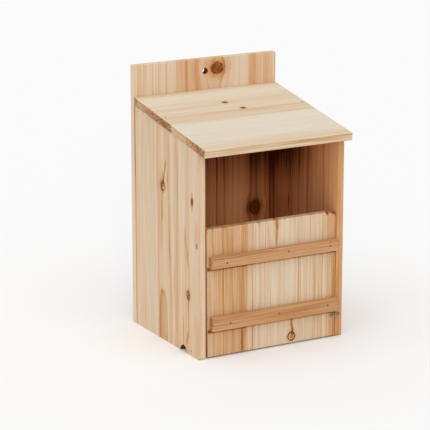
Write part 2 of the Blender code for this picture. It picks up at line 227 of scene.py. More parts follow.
def make_flame():
    """A narrow brown streak along the grain that thins out to a point at both ends."""
    tree, given, result = new_tree(
        "flame",
        {"Point": (0, 0, 0), "Tone": 0.0, "Centre": (0, 0, 0), "Half Width": 2.0, "Half Length": 20.0,
         "Strength": 0.3, "Slant": 0.0},
        {"Tone": 0.0})
    away = vector(tree, "SUBTRACT", given["Point"], given["Centre"])
    parts = put(tree, "SeparateXYZ", {0: away}).outputs
    along = calc(tree, "DIVIDE", parts["Z"], given["Half Length"])
    lean = scaled(tree, parts["Z"], given["Slant"])
    wave = noise_along(tree, scaled(tree, parts["Z"], 0.09), 2.0)
    beside = calc(tree, "SUBTRACT", parts["X"], lean)
    beside = calc(tree, "ADD", beside, scaled(tree, wave, 2.0, -1.0))
    taper = calc(tree, "SUBTRACT", 1.0, scaled(tree, along, along), clamp=True)
    width = calc(tree, "MAXIMUM", scaled(tree, given["Half Width"], taper), 0.05)
    spread = calc(tree, "DIVIDE", calc(tree, "ABSOLUTE", beside), width)
    mask = scaled(tree, ease_between(tree, spread, 1.15, 0.25), ease_between(tree, taper, 0.0, 0.6))
    tree.links.new(scaled(tree, mask, given["Strength"], given["Tone"]), result["Tone"])
    return tree


def make_wedge():
    """Heartwood that shows as a blunt wedge: darker at its edge, and open at the board's foot."""
    tree, given, result = new_tree(
        "heartwood_wedge",
        {"Point": (0, 0, 0), "Tone": 0.0, "Tip": (0, 0, 0), "Half Foot": 12.0, "Strength": 0.3},
        {"Tone": 0.0})
    away = put(tree, "SeparateXYZ", {0: vector(tree, "SUBTRACT", given["Point"], given["Tip"])}).outputs
    ragged = noise(tree, given["Point"], 3.0, (0.25, 0.0, 0.05))
    below = scaled(tree, away["Z"], -1.0, scaled(tree, ragged, 10.0, -5.0))
    closing = calc(tree, "EXPONENT", calc(tree, "DIVIDE", below, -14.0))
    share = scaled(tree, closing, -0.55, 1.0)
    half = calc(tree, "MAXIMUM", scaled(tree, share, given["Half Foot"]), 0.05)
    beside = scaled(tree, below, 0.01, away["X"])
    spread = calc(tree, "DIVIDE", calc(tree, "ABSOLUTE", beside), half)
    body = ease_between(tree, spread, 1.10, 0.95)
    rim = scaled(tree, ease_between(tree, spread, 0.50, 0.98), 0.26)
    brow = scaled(tree, ease_between(tree, below, 14.0, 1.0), 0.35)
    mask = calc(tree, "ADD", calc(tree, "MAXIMUM", rim, brow), 0.62)
    mask = scaled(tree, scaled(tree, body, mask), ease_between(tree, below, -1.0, 1.5))
    tree.links.new(scaled(tree, mask, given["Strength"], given["Tone"]), result["Tone"])
    return tree


GRAIN = make_fir_grain()
WEDGE = make_wedge()
KNOT = make_knot()
FLAME = make_flame()


def knot(across, along, radius, **looks):
    """A knot's place on the board's face, its radius in millimetres, and how it looks."""
    feeds = {key.title(): value for key, value in looks.items()}
    return {"Centre": (across, 0.0, along), "Radius": radius, **feeds}


def bands_across(tree, level, bands):
    """Tone across the board: straight steps between places given in millimetres."""
    low, high = bands[0][0], bands[-1][0]
    share = put(tree, "MapRange", {"Value": level, "From Min": low, "From Max": high}).outputs["Result"]
    ramp = put(tree, "ValToRGB", {"Fac": share})
    stops = ramp.color_ramp.elements
    for extra in range(len(bands) - 2):
        stops.new((extra + 1) / len(bands))
    for stop, (place, _) in zip(stops, bands):
        stop.position = (place - low) / (high - low)
    for stop, (_, tone) in zip(stops, bands):
        stop.color = (tone, tone, tone, 1.0)
    return ramp.outputs["Color"]


# Colours for faces inside the box: the fir's own colours darkened and reddened as painted shade and bounce
# light.
SHADED_INSIDE_FIR = {"Pale": (0.97, 0.51, 0.238), "Warm": (0.715, 0.272, 0.096), "Dark": (0.15, 0.036, 0.008)}


BAND_WAVER = 3.0        # how far a band's edge strays across the grain, in millimetres
# Nicks are darkened by their depth as painted shade.
NICK_SHADE_TONE = 0.6    # tone added where an arris is deeply nicked


def fir(name, lie, bands, colours, knots=(), flames=(), wedges=(), batten_shadow_lines=(), bore_shades=(), end_bands=None,
        end_tone=0.5, edge_tone=0.1, edge_streaks=None, inner=None, shaded_inner_bands=None, shade_tint_from=None,
        painted_shade=(165.0, 245.0, 0.54), painted_shade_from=None, bump=0.35, gloss=0.18, **grain):
    """Bare fir for one board.

    lie names the object axes that run across, through and along the board, as in "xyz".
    bands gives tone (0 pale, 0.5 warm, 1 dark) at places across the board in millimetres.
    A flame is its place across and along, its two half sizes, its tone, and maybe its slant.
    inner is (axis, side, highest place) of the face inside the box, which has its own tone bands; with the
    inside colours they paint shade and bounce light over its grain.
    A height band (low, high, tone) adds painted shade: the inner face darkens between two heights, under the
    roof.
    Two optional pairs of places across set where that painted shade, and where the inside colours, set in.
    """
    mat = bpy.data.materials.new(name)
    mat.use_nodes = True
    tree = mat.node_tree
    shader = tree.nodes["Principled BSDF"]
    where = put(tree, "TexCoord")
    spot = put(tree, "SeparateXYZ", {0: times(tree, where.outputs["Object"], 1000.0)}).outputs
    across, through, along = (spot[axis.upper()] for axis in lie)
    point = put(tree, "CombineXYZ", {"X": across, "Y": through, "Z": along}).outputs[0]
    facing = put(tree, "SeparateXYZ", {0: where.outputs["Normal"]}).outputs
    end = ease_between(tree, calc(tree, "ABSOLUTE", facing[lie[2].upper()]), 0.55, 0.8)
    edge = ease_between(tree, calc(tree, "ABSOLUTE", facing[lie[0].upper()]), 0.55, 0.8)

    tone = scaled(tree, edge, edge_tone)
    for feeds in knots:
        node = put(tree, "Group", {"Point": point, "Tone": tone, **feeds}, node_tree=KNOT)
        point, tone = node.outputs["Point"], node.outputs["Tone"]
    for x, z, half_width, half_length, strength, *slant in flames:
        node = put(tree, "Group", {"Point": point, "Tone": tone, "Centre": (x, 0.0, z),
                                   "Half Width": half_width, "Half Length": half_length,
                                   "Strength": strength, "Slant": (*slant, 0.0)[0]}, node_tree=FLAME)
        tone = node.outputs["Tone"]
    for x, z, half_foot, strength in wedges:
        node = put(tree, "Group", {"Point": point, "Tone": tone, "Tip": (x, 0.0, z),
                                   "Half Foot": half_foot, "Strength": strength}, node_tree=WEDGE)
        tone = node.outputs["Tone"]
    # Painted shadow: a dark line across the front face at each given height, under the battens.
    for place, half, strength in batten_shadow_lines:
        off = calc(tree, "ABSOLUTE", calc(tree, "SUBTRACT", along, place))
        faced = ease_between(tree, scaled(tree, facing[lie[1].upper()], -1.0), 0.5, 0.9)
        line = scaled(tree, ease_between(tree, off, half, half * 0.2), faced)
        tone = scaled(tree, line, strength, tone)
    # Painted shade: the wood darkens close round each bore, on the walls of the hang hole and the notch.
    for x, z, radius in bore_shades:
        flat = put(tree, "CombineXYZ", {"X": across, "Z": along}).outputs[0]
        beside = vector(tree, "SUBTRACT", flat, (x, 0.0, z))
        wall = ease_between(tree, vector(tree, "LENGTH", beside), radius + 0.5, radius + 0.1)
        tone = scaled(tree, wall, 1.2, tone)

    # Painted shade: nicked arrises darken with the depth of the nick.
    nick = put(tree, "Attribute", attribute_name="nick", attribute_type="GEOMETRY").outputs["Fac"]
    tone = scaled(tree, scaled(tree, nick, 1.6, clamp=True), NICK_SHADE_TONE, tone)

    # Bands of tone follow the grain, along edges that waver a little.
    shift = noise(tree, point, 3.0, (0.05, 0.05, 0.008))
    level = put(tree, "SeparateXYZ", {0: point}).outputs["X"]
    level = calc(tree, "ADD", level, scaled(tree, shift, BAND_WAVER, -BAND_WAVER / 2))
    base = bands_across(tree, level, bands)
    # Inside the box the face takes its own darker bands and colours: painted shade and bounce light over the
    # grain.
    if inner:
        axis, side, top = inner
        turned = scaled(tree, facing[axis.upper()], side)
        within = ease_between(tree, along, top, top - 2.0)
        within = scaled(tree, ease_between(tree, turned, 0.4, 0.8), within)
        base = mix_colours(tree, within, base, bands_across(tree, level, shaded_inner_bands))
        # Painted shade: the inner face darkens high up, under the roof.
        high_up = ease_between(tree, along, painted_shade[0], painted_shade[1])
        if painted_shade_from:
            high_up = scaled(tree, high_up, ease_between(tree, across, painted_shade_from[0], painted_shade_from[1]))
        tone = scaled(tree, scaled(tree, within, high_up), painted_shade[2], tone)
    tone = calc(tree, "ADD", base, tone)
    if end_bands:
        end_tone = bands_across(tree, level, end_bands)
    feeds = {"Point": point, "Tone": tone, "End": scaled(tree, end, end_tone)}
    feeds.update({key.replace("_", " ").title(): value for key, value in grain.items()})
    feeds.update({key: (*value, 1.0) for key, value in colours.items()})
    # The inside colours, painted shade and bounce light, fade in across the board.
    if inner:
        share = within
        if shade_tint_from:
            share = scaled(tree, within, ease_between(tree, across, shade_tint_from[0], shade_tint_from[1]))
        for key, value in SHADED_INSIDE_FIR.items():
            feeds[key] = mix_colours(tree, share, feeds[key], (*value, 1.0))
    if edge_streaks:
        feeds["Streaks"] = scaled(tree, edge, edge_streaks, grain["streaks"])
    wood = put(tree, "Group", feeds, node_tree=GRAIN)
    relief = put(tree, "Bump", {"Strength": bump, "Distance": 0.0003, "Height": wood.outputs["Height"]})
    tree.links.new(wood.outputs["Color"], shader.inputs["Base Color"])
    tree.links.new(wood.outputs["Roughness"], shader.inputs["Roughness"])
    tree.links.new(relief.outputs["Normal"], shader.inputs["Normal"])
    shader.inputs["Specular IOR Level"].default_value = gloss
    return mat


def cut_across(shape, axis, places, within=None):
    """Cut a board's faces by planes across one axis, or only the faces that lie in a region."""
    normal = Vector([float(index == axis) for index in range(3)])
    for place in places:
        chosen = [face for face in shape.faces if within is None or within(face)]
        edges = {edge for face in chosen for edge in face.edges}
        corners = {vertex for face in chosen for vertex in face.verts}
        bmesh.ops.bisect_plane(shape, geom=[*chosen, *edges, *corners], dist=1e-7,
                               plane_co=normal * place, plane_no=normal)


def steps_between(low, high, step):
    """Evenly stepped places that lie inside low and high."""
    return [low + step * number for number in range(1, int((high - low) / step))]


ARRIS_TURN = math.radians(8.0)      # faces that turn by less than this meet in no arris
BROAD_RUB, FINE_RUB = 260.0, 900.0  # bumps per metre along a rubbed arris


def board(node, name, body, mat, grain_axis=2, step=0.005, wear=0.00014, chips=None, finer=None):
    """A board as it leaves the saw: the modelled board with its arrises rubbed and nicked.

    Cuts across the grain give the arrises points, and each point moves in by up to wear.
    chips(place) adds a deeper nick, whose depth is kept on the mesh for the wood to darken as painted shade.
    """
    shape = bmesh.new()
    shape.from_mesh(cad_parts[node].data)
    bmesh.ops.remove_doubles(shape, verts=shape.verts, dist=1e-6)
    bmesh.ops.dissolve_limit(shape, angle_limit=math.radians(0.5), verts=shape.verts, edges=shape.edges)
    low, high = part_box(node)
    cut_across(shape, grain_axis, steps_between(low[grain_axis], high[grain_axis], step))
    if finer:
        finer(shape)
    nicked = shape.verts.layers.float.new("nick")
    shape.normal_update()
    moves = []
    for vertex in shape.verts:
        turned = max((edge.calc_face_angle(0.0) for edge in vertex.link_edges), default=0.0)
        if turned < ARRIS_TURN:
            moves.append((vertex, Vector(), 0.0))
            continue
        rub = 0.5 + 0.5 * field.noise(vertex.co * BROAD_RUB) + 0.35 * field.noise(vertex.co * FINE_RUB)
        nick = chips(vertex.co) if chips else 0.0
        moves.append((vertex, vertex.normal * -(wear * max(rub, 0.0) + nick), nick))
    for vertex, move, nick in moves:
        vertex.co += move
        vertex[nicked] = nick * 1000.0
    mesh = bpy.data.meshes.new(name)
    shape.to_mesh(mesh)
    shape.free()
    piece = bpy.data.objects.new(name, mesh)
    bpy.context.scene.collection.objects.link(piece)
    mesh.materials.append(mat)
    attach(piece, body)
    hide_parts(node)


WARM_FIR = {"Pale": (0.77, 0.61, 0.445), "Warm": (0.63, 0.305, 0.115), "Dark": (0.20, 0.052, 0.010)}
# A flat dark tone for the inside faces: painted shade.
FLAT_SHADED_BROWN = [(-112, 0.62), (-60, 0.52), (0, 0.62), (60, 0.55), (112, 0.62)]

back_fir = fir(
    "fir_back", "xyz",
    [(-110, 0.12), (-100, 0.12), (-97, 0.10), (-92, 0.07), (-89, 0.00), (-80, -0.04), (-70, 0.04),
     (-60, -0.04), (-50, 0.04), (-44, 0.24), (-36, 0.26), (-30, 0.42), (-26, 0.24), (-19, 0.30),
     (-15, 0.44), (-10, 0.22), (0, 0.18), (12, 0.16), (30, 0.10), (36, -0.02), (58, -0.04), (65, 0.02),
     (66, 0.24), (72, 0.30), (77, 0.34), (79, 0.20), (95, 0.18), (98, 0.36), (100, 0.14), (107, 0.06),
     (110, 0.14)],
    knots=[knot(17.0, 345.5, 9.6, stretch=0.86, heart=0.50, rim=0.14, halo=0.30, mottle=2.6, rings=0.03),
           knot(77.0, 142.0, 7.2, stretch=1.05, heart=0.46, rim=0.80, halo=0.22, mottle=5.2)],
    # Below the roof the front face takes the inside bands: grain lines with painted shade.
    inner=("y", -1.0, 316.0),
    shaded_inner_bands=[(-110, 0.32), (-40, 0.42), (0, 0.48), (6, 0.32), (14, 0.30), (15.5, 0.38), (16.7, 0.95),
                 (18, 0.32), (22, 0.24), (26, 0.34), (28, 0.60), (31, 0.26), (44, 0.20), (52, 0.18),
                 (58, 0.20), (66, 0.36), (71, 0.80), (74, 0.58), (80, 0.72), (88, 0.50), (99, 0.60),
                 (110, 0.6)],
    # The hang hole's wall is painted dark as shade.
    bore_shades=[(-1.5, 342.8, 4.0)], end_tone=-0.1, edge_tone=-0.18, gloss=0.02, painted_shade=(165.0, 245.0, 0.46),
    colours={**WARM_FIR, "Dark": (0.20, 0.048, 0.010)}, pith=(-20.0, 60.0, 0.0), ring=4.2,
    ring_strength=0.22, streaks=0.7, seed=1.0)
board("back_panel", "back_board", "box", back_fir)

# ------------------------------------------------------------------ left side
# A fir board with upright grain, nailed to the floor's end from outside. A half-round notch
# is cut in its foot, and knots, brown flames and a heartwood wedge show on its outer face.
PALE_FIR = {"Pale": (0.755, 0.605, 0.445), "Warm": (0.63, 0.335, 0.135), "Dark": (0.20, 0.052, 0.010)}

left_fir = fir(
    "fir_left", "yxz",
    [(-85, 0.16), (-78, 0.12), (-72, 0.08), (-67, 0.04), (-61, 0.06), (-57, 0.20), (-50, 0.24), (-46, 0.12),
     (-40, 0.04), (-34, 0.08), (-30, 0.14), (-28, 0.30), (-24, 0.28), (-20, 0.22), (-17, 0.06), (-10, 0.06),
     (-6, 0.20), (-2, 0.20), (2, 0.08), (22, 0.16), (30, 0.12), (36, 0.03), (42, 0.10), (48, 0.16),
     (56, 0.10), (60, 0.02), (66, 0.12), (74, 0.10), (82, 0.02), (90, 0.12), (94, 0.26)],
    knots=[knot(14.0, 212.0, 4.9, stretch=0.95, heart=-0.34, rim=0.60, halo=0.40, mottle=0.5),
           knot(-67.0, 209.0, 2.1, stretch=1.5, heart=1.60, rim=0.30, halo=0.36, mottle=0.3),
           knot(-55.5, 81.0, 4.2, stretch=1.3, heart=0.40, rim=0.42, halo=0.22, mottle=1.8)],
    flames=[(15, 222, 5.2, 15, 0.36), (10.5, 229, 3, 20, 0.27, -0.22), (6.5, 242, 2.6, 11, 0.30, -0.1),
            (1.5, 222, 2, 18, 0.32, -0.12), (11.5, 226, 1.6, 12, 0.18, -0.3),
            (16, 190, 4.2, 30, 0.38, -0.03), (18, 152, 3, 34, 0.26, -0.03),
            (-2, 170, 1.8, 72, 0.26, 0.05), (-6.5, 92, 2, 60, 0.18, 0.02),
            (24.5, 186, 1.3, 46, 0.22, -0.02), (-67, 209, 3.2, 17, 0.44),
            (-48.5, 158, 3.2, 17, 0.24, 0.06), (-54, 134, 2.4, 20, 0.36, 0.12),
            (-60, 103, 1.4, 26, 0.22, 0.04), (-56, 66, 2.4, 12, 0.30), (-57.5, 48, 1.4, 20, 0.22),
            (-53.5, 22, 3.6, 13, 0.34, -0.2), (-79, 166, 7, 24, 0.16), (-42, 24, 4, 30, 0.14),
            (-76, 28, 11, 34, 0.12), (-27, 225, 2.4, 60, 0.16), (-24.5, 110, 2.4, 110, 0.16)],
    # The notch's wall is painted dark as shade.
    wedges=[(15.0, 70.0, 12.0, 0.42)], bore_shades=[(-42.3, -0.5, 9.3)],
    # Its inner face is painted a flat shaded brown that fades in towards the back: painted shade.
    inner=("x", 1.0, 400.0), shade_tint_from=(-115.0, -50.0), shaded_inner_bands=FLAT_SHADED_BROWN, edge_tone=-0.02,
    colours=PALE_FIR, pith=(10.0, -190.0, 0.0), ring=4.4, ring_strength=0.22, seed=2.0)
board("left_side", "left_board", "box", left_fir)

# ------------------------------------------------------------------ right side
# A fir board like the left one but without the notch, nailed to the floor's other end. The
# turn latch is screwed into its front edge, and its inner face shows beside the door.
right_fir = fir(
    "fir_right", "yxz",
    [(-85, 0.40), (-60, 0.40), (-40, 0.22), (-10, 0.30), (20, 0.16), (50, 0.32), (80, 0.20), (94, 0.25)],
    flames=[(-30, 120, 4, 60, 0.2), (35, 180, 3, 50, 0.2, 0.02), (40, 160, 3, 16, 0.30)],
    # Its inner face darkens high up and towards the back: painted shade over the grain.
    inner=("x", -1.0, 400.0), painted_shade=(170.0, 240.0, 0.60), painted_shade_from=(-60.0, 30.0),
    shaded_inner_bands=[(-85, 0.00), (-75, -0.06), (-64, 0.00), (-62, 0.24), (-60, 0.06), (-54, 0.12), (-51, 0.38),
                 (-48, 0.08), (-44, -0.06), (-34, -0.06), (-30, 0.08), (-14, 0.14), (-10, 0.34), (-5, 0.18),
                 (10, 0.22), (13, 0.40), (18, 0.24), (30, 0.30), (55, 0.42), (76, 0.56), (80, 0.84),
                 (86, 0.62), (94, 0.86)],
    colours=WARM_FIR, pith=(-30.0, 220.0, 0.0), ring=3.8, ring_strength=0.24, edge_tone=0.04, seed=3.0)
board("right_side", "right_board", "box", right_fir)

# ------------------------------------------------------------------ floor
# A plain fir board let in between the sides, with its grain running from left to right. Nails
# through both sides hold it, and it has no finish. The drain notch runs on into its left end.
floor_fir = fir(
    "fir_floor", "yzx",
    [(-75, 0.50), (-40, 0.38), (0, 0.56), (40, 0.42), (95, 0.52)],
    colours=WARM_FIR, pith=(20.0, -90.0, 0.0), ring=3.4, ring_strength=0.2, seed=4.0)
board("floor", "floor_board", "box", floor_fir,
      grain_axis=0, step=0.006, wear=0.00012)

# ------------------------------------------------------------------ roof
# The lightest board: three staves edge-glued with the grain from left to right, nailed down
# into the sides' sloped tops. Two small knots lie near its middle; its ends show end grain.
ROOF_FIR = {"Pale": (0.745, 0.67, 0.54), "Warm": (0.64, 0.39, 0.19), "Dark": (0.22, 0.06, 0.012)}
ROUGH_END = 0.0035      # how far in from its sawn ends the roof is cut finely


def roof_ends(shape):
    """Cut the two sawn ends finely, so that they can be rough."""
    low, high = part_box("roof")
    for outer in (low[0], high[0]):
        cut_across(shape, 1, steps_between(low[1], high[1], 0.0022),
                   lambda face: all(abs(corner.co.x - outer) < ROUGH_END for corner in face.verts))


roof_fir = fir(
    "fir_roof", "yzx",
    [(-105, 0.10), (-95, 0.16), (-90, 0.12), (-81, 0.12), (-78, 0.03), (-60, 0.05), (-56, 0.08), (-50, 0.02),
     (-30, 0.0), (-12.5, 0.03), (-10.5, 0.17), (-3, 0.18), (4, 0.24), (12, 0.24), (17, 0.16), (30, 0.14),
     (38, 0.19), (44, 0.15), (52, 0.14), (62, 0.08), (72, 0.02), (80, 0.06), (86, 0.16), (94, 0.26)],
    knots=[knot(42.5, 0.5, 2.7, stretch=1.2, heart=0.80, rim=0.16, halo=0.34, mottle=0.8),
           knot(17.0, 14.0, 2.8, stretch=1.2, heart=0.80, rim=0.16, halo=0.34, mottle=0.8)],
    flames=[(7, 30, 2.6, 45, 0.12), (39, -70, 2, 50, 0.10), (-6, 80, 2.6, 30, 0.10)],
    # Its underside is painted a flat shaded brown: painted shade.
    inner=("z", -1.0, 400.0), shaded_inner_bands=FLAT_SHADED_BROWN, edge_tone=0.22,
    end_bands=[(-105, 0.64), (-85, 0.70), (-60, 0.60), (-50, 0.40), (-16, 0.38), (-11, 0.66), (20, 0.66),
               (60, 0.58), (94, 0.50)], edge_streaks=1.5,
    colours=ROOF_FIR, pith=(-30.0, 150.0, 0.0), ring=5.0, ring_strength=0.12, streaks=0.6, seed=5.0)
board("roof", "roof_board", "box", roof_fir,
      grain_axis=0, step=0.004, wear=0.00018, finer=roof_ends)

# ------------------------------------------------------------------ door
# The door panel is glued from a warm left stave, a pale middle and a warm strip on the right.
# It hangs on the two pivot screws and closes the lower half of the front.
DOOR_FIR = {"Pale": (0.725, 0.60, 0.44), "Warm": (0.59, 0.30, 0.115), "Dark": (0.20, 0.055, 0.011)}
DOOR_LOW, DOOR_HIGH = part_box("door_panel")
TOP_STRIP = DOOR_HIGH[2] - 0.005
CHIP_REACH = 0.0015     # how far back from the door's face a splinter can be torn
CHIP_DEPTH = 0.0009     # depth of the deepest splinters on the left
RIGHT_EXTRA = 0.0007    # how much deeper they are at the right end


def door_top(shape):
    """Cut the strip along the sawn top edge finely, to chip it."""
    cut_across(shape, 2, [TOP_STRIP])
    cut_across(shape, 0, steps_between(DOOR_LOW[0], DOOR_HIGH[0], 0.0015),
               lambda face: min(corner.co.z for corner in face.verts) > TOP_STRIP - 1e-5)


def top_chips(place):
    """Depth of the splinters torn from the top front arris, deepest towards the right end."""
    if place.z < TOP_STRIP or place.y > DOOR_LOW[1] + CHIP_REACH:
        return 0.0
    across = place.x * 1000.0
    rough = field.noise(Vector((across * 0.22, 4.7, 0.0)))
    rough += 0.5 * field.noise(Vector((across * 0.7, 9.1, 0.0)))
    share = min(max((across - 60.0) / 30.0, 0.0), 1.0)
    return max(rough - 0.25 + 0.30 * share, 0.0) * (CHIP_DEPTH + RIGHT_EXTRA * share)


door_fir = fir(
    "fir_door", "xyz",
    [(-97, 0.32), (-90, 0.33), (-75, 0.35), (-62, 0.34), (-59, 0.46), (-57, 0.36), (-51, 0.40), (-47, 0.38),
     (-44, 0.58), (-41, 0.46), (-37, 0.38), (-34.5, 0.13), (-29, 0.22), (-27, 0.09), (-14, 0.13), (-6, 0.09),
     (4, 0.10), (12, 0.08), (25, 0.06), (28, 0.22), (30, 0.08), (39, 0.10), (41, 0.26), (43, 0.10),
     (58, 0.13), (65, 0.24), (67, 0.13), (83, 0.16), (86.5, 0.32), (92, 0.38), (98, 0.40)],
    knots=[knot(31.0, 11.0, 5.2, stretch=1.1, heart=0.32, rim=0.92, halo=0.08, mottle=0.5, rings=0.36)],
    flames=[(31.5, 26, 1.8, 16, 0.75), (29.5, 30, 0.9, 14, 0.30), (33, 50, 1.6, 26, 0.20),
            (7, 166, 3.6, 34, 0.46), (9, 174, 5, 14, 0.20), (66, 84, 1.4, 40, 0.22),
            (41, 90, 1, 60, 0.22), (-28.5, 40, 0.9, 70, 0.30), (-4, 150, 1.2, 26, 0.22, -0.1),
            (-88, 152, 1.8, 30, 0.22), (-44, 12, 1.8, 26, 0.24), (94, 85, 1.2, 36, 0.16)],
    # The two dark lines under the battens are painted shadow.
    end_tone=0.04, edge_tone=0.1, batten_shadow_lines=[(121.0, 4.2, 0.70), (36.8, 4.2, 0.70)], colours=DOOR_FIR,
    pith=(-240.0, -20.0, 0.0), wander=4.0, ring=4.2, ring_strength=0.26, streaks=1.0, seed=6.0)
board("door_panel", "door_board", "door", door_fir, chips=top_chips, finer=door_top)

# ------------------------------------------------------------------ battens
# Two rough-sawn fir strips, nailed across the door with three brads each, keep its staves
# flat. They are warmer and darker than the door, and torn at their sawn ends.
BATTEN_FIR = {"Pale": (0.63, 0.37, 0.19), "Warm": (0.46, 0.205, 0.075), "Dark": (0.13, 0.04, 0.013)}
FINE_END = 0.0042       # how far in from the sawn ends a batten is cut finely
TORN_END = 0.0035       # how far in its fibres are torn
TEAR_DEPTH = 0.0007     # depth of the deepest tear
PIN_KNOT = knot(136.7, 85.1, 0.6, heart=0.7)

for batten, middle, darker, seed, marks in (("upper_batten", 130.3, 0.0, 7.0, [PIN_KNOT]),
                                            ("lower_batten", 47.6, 0.07, 8.0, [])):
    batten_fir = fir(
        "fir_" + batten, "zyx",
        [(middle - 10, 0.26 + darker), (middle - 3, 0.16 + darker), (middle + 4, 0.30 + darker),
         (middle + 10, 0.20 + darker)],
        knots=marks, colours=BATTEN_FIR, pith=(middle + 8.0, -130.0, 0.0), ring=1.9, ring_strength=0.22,
        streaks=1.5, seed=seed, bump=0.8, end_tone=0.12, edge_tone=0.0)
    low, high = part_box(batten)

    def batten_ends(shape):
        """Cut the sawn ends finely, so that they can be ragged."""
        for outer in (low[0], high[0]):
            cut_across(shape, 2, steps_between(low[2], high[2], 0.0011),
                       lambda face: all(abs(corner.co.x - outer) < FINE_END for corner in face.verts))

    def end_nicks(place):
        """Torn fibres at the two ends, as horizontal nicks."""
        from_end = min(place.x - low[0], high[0] - place.x)
        if from_end > TORN_END:
            return 0.0
        torn = field.noise(Vector((seed, place.z * 700.0, place.y * 120.0)))
        return max(torn + 0.10, 0.0) * TEAR_DEPTH * (1.0 - from_end / TORN_END)

    board(batten, batten + "_strip", "door", batten_fir,
          grain_axis=0, step=0.003, wear=0.00020, chips=end_nicks, finer=batten_ends)

# ------------------------------------------------------------------ brads and nails
# Six fine brads hold the battens to the door and ten wire nails hold the box together. Each
# is drawn steel wire with a flat upset head, driven flush; the heads have dulled and stained.


def worn_metal(name, clean, stained, rough, stain_share, scale):
    """Metal with stain in patches and fine scratches."""
    mat = bpy.data.materials.new(name)
    mat.use_nodes = True
    tree = mat.node_tree
    shader = tree.nodes["Principled BSDF"]
    place = times(tree, put(tree, "TexCoord").outputs["Object"], 1000.0)
    patches = noise(tree, times(tree, place, scale), 4.0)
    stain = ease_between(tree, patches, 1.0 - stain_share - 0.12, 1.0 - stain_share + 0.12)
    scratches = noise(tree, place, 3.0, (7.0, 7.0, 1.2))
    tree.links.new(mix_colours(tree, stain, (*clean, 1.0), (*stained, 1.0)), shader.inputs["Base Color"])
    polish = scaled(tree, scratches, 0.30, rough - 0.15)
    tree.links.new(scaled(tree, stain, 0.25, polish), shader.inputs["Roughness"])
    tree.links.new(scaled(tree, stain, -0.6, 0.95), shader.inputs["Metallic"])
    pits = put(tree, "Bump", {"Strength": 0.4, "Distance": 0.00005,
                              "Height": calc(tree, "ADD", scratches, stain)})
    tree.links.new(pits.outputs["Normal"], shader.inputs["Normal"])
    return mat


def fastener_tree(name, **sizes):
    """A geometry tree that takes the places of fasteners as points, and its named sizes."""
    sizes = {label.replace("_", " ").title(): start for label, start in sizes.items()}
    return new_tree(name, {"Places": "NodeSocketGeometry", **sizes, "Finish": "NodeSocketMaterial"},
                    {"Fasteners": "NodeSocketGeometry"}, "GeometryNodeTree")


def moved(tree, shape, value):
    """The shape lifted by value."""
    lift = put(tree, "CombineXYZ", {"Z": value}).outputs[0]
    return put(tree, "GeometryNodeTransform", {"Geometry": shape, "Translation": lift}).outputs[0]


def joined(tree, *shapes):
    """All the shapes as one."""
    whole = put(tree, "GeometryNodeJoinGeometry")
    for shape in shapes:
        tree.links.new(shape, whole.inputs[0])
    return whole.outputs[0]


def head_disc(tree, given, sides, rims, rings):
    """A disc of the head's size, and each point's place, share of the radius, and height."""
    disc = put(tree, "GeometryNodeMeshCylinder",
               {"Vertices": sides, "Side Segments": rims, "Fill Segments": rings,
                "Radius": given["Head Radius"], "Depth": given["Head Height"]}).outputs[0]
    spot = put(tree, "GeometryNodeInputPosition").outputs[0]
    flat = vector(tree, "MULTIPLY", spot, (1.0, 1.0, 0.0))
    share = calc(tree, "DIVIDE", vector(tree, "LENGTH", flat), given["Head Radius"])
    return disc, spot, share, put(tree, "SeparateXYZ", {0: spot}).outputs["Z"]


def pressed(tree, given, disc, lift):
    """The disc with its points lifted, and its top face at the origin."""
    offset = put(tree, "CombineXYZ", {"Z": lift}).outputs[0]
    shaped = put(tree, "GeometryNodeSetPosition", {"Geometry": disc, "Offset": offset}).outputs[0]
    return moved(tree, shaped, scaled(tree, given["Head Height"], -0.5))


def shaft(tree, given, sides, radius, bar_length, tip_length, top, tip_radius):
    """A round bar that starts at top under the head, and the point that ends the length."""
    bar = put(tree, "GeometryNodeMeshCylinder", {"Vertices": sides, "Radius": radius, "Depth": bar_length})
    bar = moved(tree, bar.outputs[0], scaled(tree, scaled(tree, bar_length, 0.5, top), -1.0))
    tip = put(tree, "GeometryNodeMeshCone", {"Vertices": sides, "Radius Top": radius,
                                             "Radius Bottom": tip_radius, "Depth": tip_length})
    return bar, moved(tree, tip.outputs[0], scaled(tree, given["Length"], -1.0))


def set_in_place(tree, given, result, shape, seed):
    """Stand one copy of the shape on every point, along its own lean, turned at random."""
    lean = put(tree, "GeometryNodeInputNamedAttribute", {"Name": "lean"}, data_type="FLOAT_VECTOR")
    turn = put(tree, "FunctionNodeAlignRotationToVector", {"Vector": lean.outputs[0]}, axis="Z")
    spin = put(tree, "FunctionNodeRandomValue", {"Min": 0.0, "Max": math.tau, "Seed": seed},
               data_type="FLOAT")
    spin_value = next(socket for socket in spin.outputs if socket.enabled)
    about = put(tree, "FunctionNodeAxisAngleToRotation", {"Axis": (0.0, 0.0, 1.0), "Angle": spin_value})
    both = put(tree, "FunctionNodeRotateRotation", {0: turn.outputs[0], 1: about.outputs[0]},
               rotation_space="LOCAL")
    points = put(tree, "GeometryNodeMeshToPoints", {"Mesh": given["Places"]})
    stood = put(tree, "GeometryNodeInstanceOnPoints",
                {"Points": points.outputs[0], "Instance": shape, "Rotation": both.outputs[0]})
    real = put(tree, "GeometryNodeRealizeInstances", {0: stood.outputs[0]})
    done = put(tree, "GeometryNodeSetMaterial", {"Geometry": real.outputs[0], "Material": given["Finish"]})
    tree.links.new(done.outputs[0], result[0])
    return tree


